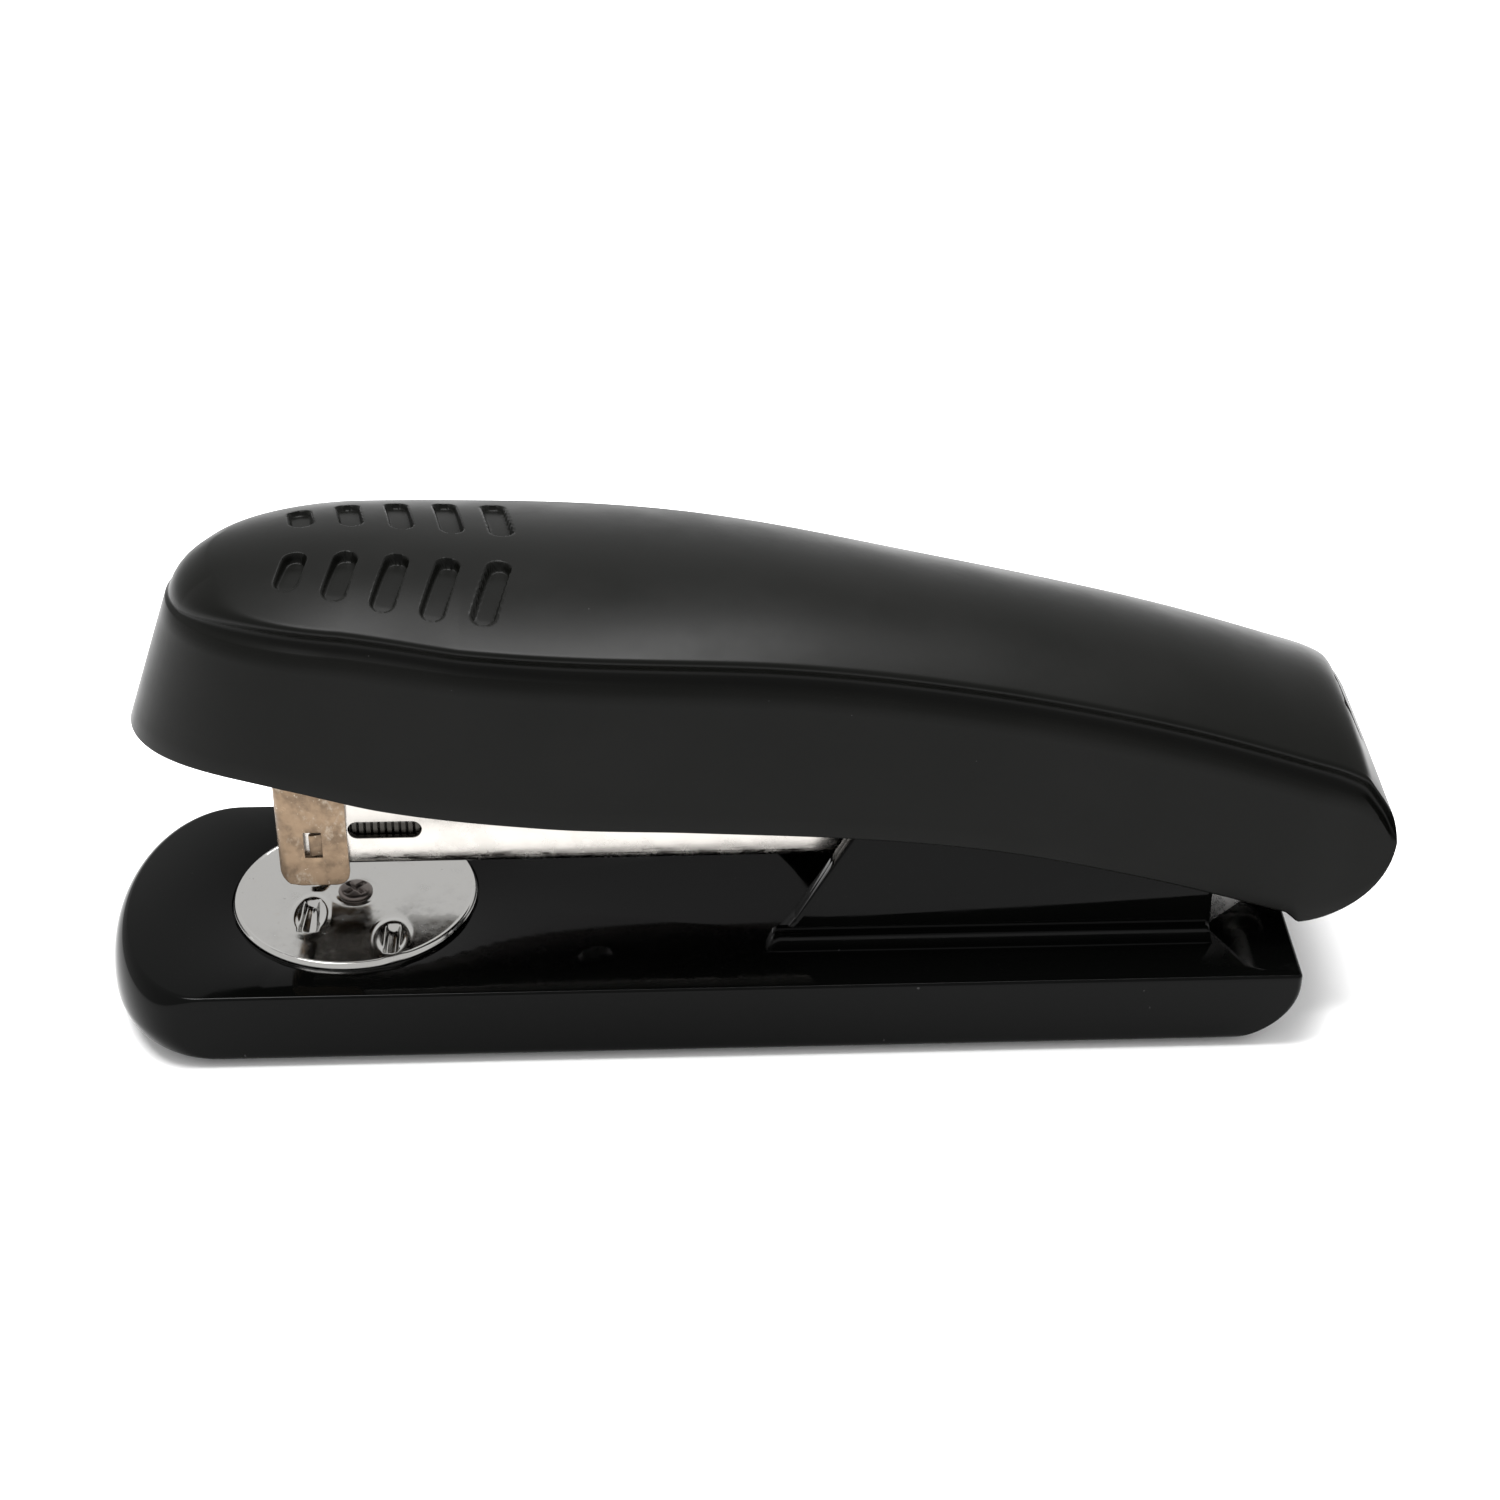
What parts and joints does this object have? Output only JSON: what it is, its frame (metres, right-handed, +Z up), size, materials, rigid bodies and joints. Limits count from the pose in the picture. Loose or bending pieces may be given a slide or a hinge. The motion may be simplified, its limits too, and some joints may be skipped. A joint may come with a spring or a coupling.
{
  "type": "stapler",
  "caption": "Desk stapler with a moulded base, turning anvil plate, sprung staple magazine, pusher and long curved handle with finger-grip slots.",
  "frame": {"origin": "centre of the overall box in plan, on the surface that the sole stands on", "axes": "+X from the nose to the hinge along the base, +Y to the side, +Z up"},
  "size_m": [0.1386, 0.0364, 0.0545],
  "materials": {
    "gloss_black": "polished moulding",
    "satin_black": "satin moulding",
    "sole_rubber": "matte",
    "bright_nickel": "bright plated",
    "plated_steel": "zinc plated",
    "plain_steel": "plain",
    "dark_steel": "blackened",
    "spring_steel": "tempered",
    "staple_wire": "galvanised wire",
    "bronzed_steel": "yellow-brown passivated"
  },
  "bodies": {
    "base": {"base_shell": "gloss_black", "base_sole": "sole_rubber", "hinge_bracket": "plated_steel", "bracket_screws": "plain_steel", "hinge_pin": "plated_steel", "pin_clip": "dark_steel", "magazine_spring": "spring_steel", "anvil_spring": "spring_steel"},
    "anvil_stem": {"anvil_post": "dark_steel", "anvil_button": "satin_black"},
    "anvil": {"anvil_plate": "bright_nickel"},
    "magazine": {"staple_channel": "bright_nickel", "nose_guide": "bronzed_steel", "staple_rail": "plated_steel", "rail_rivets": "plain_steel", "staple_strip": "staple_wire", "pusher_rod": "plain_steel", "pusher_spring": "spring_steel", "rod_stop": "plain_steel"},
    "follower": {"pusher": "dark_steel"},
    "handle": {"handle_cover": "satin_black", "handle_lever": "plated_steel", "cover_screws": "plain_steel", "driver_blade": "spring_steel", "blade_rivets": "plain_steel", "handle_spring": "spring_steel"}
  },
  "joints": [
    {"name": "magazine_tilt", "type": "hinge", "parent": "base", "child": "magazine", "pos_m": [0.0593, 0, 0.0225], "axis": [0, 1, 0], "range_deg": [-2.8, 0], "stiffness_Nm_per_rad": 0.8, "springref_deg": 17.19, "deforming": ["magazine_spring"]},
    {"name": "handle_swing", "type": "hinge", "parent": "magazine", "child": "handle", "pos_m": [0.0593, 0, 0.0225], "axis": [0, 1, 0], "range_deg": [-5.2, 85], "deforming": ["handle_spring"]},
    {"name": "pusher_slide", "type": "slide", "parent": "magazine", "child": "follower", "axis": [1, 0, 0], "range_m": [0, 0.033], "stiffness_N_per_m": 40, "springref_m": -0.02, "deforming": ["pusher_spring"]},
    {"name": "anvil_raise", "type": "slide", "parent": "base", "child": "anvil_stem", "axis": [0, 0, 1], "range_m": [0, 0.0008], "stiffness_N_per_m": 500, "springref_m": -0.003, "deforming": ["anvil_spring"]},
    {"name": "anvil_turn", "type": "hinge", "parent": "anvil_stem", "child": "anvil", "pos_m": [-0.0425, 0, 0.0093], "axis": [0, 0, 1], "range_deg": [0, 180]}
  ]
}
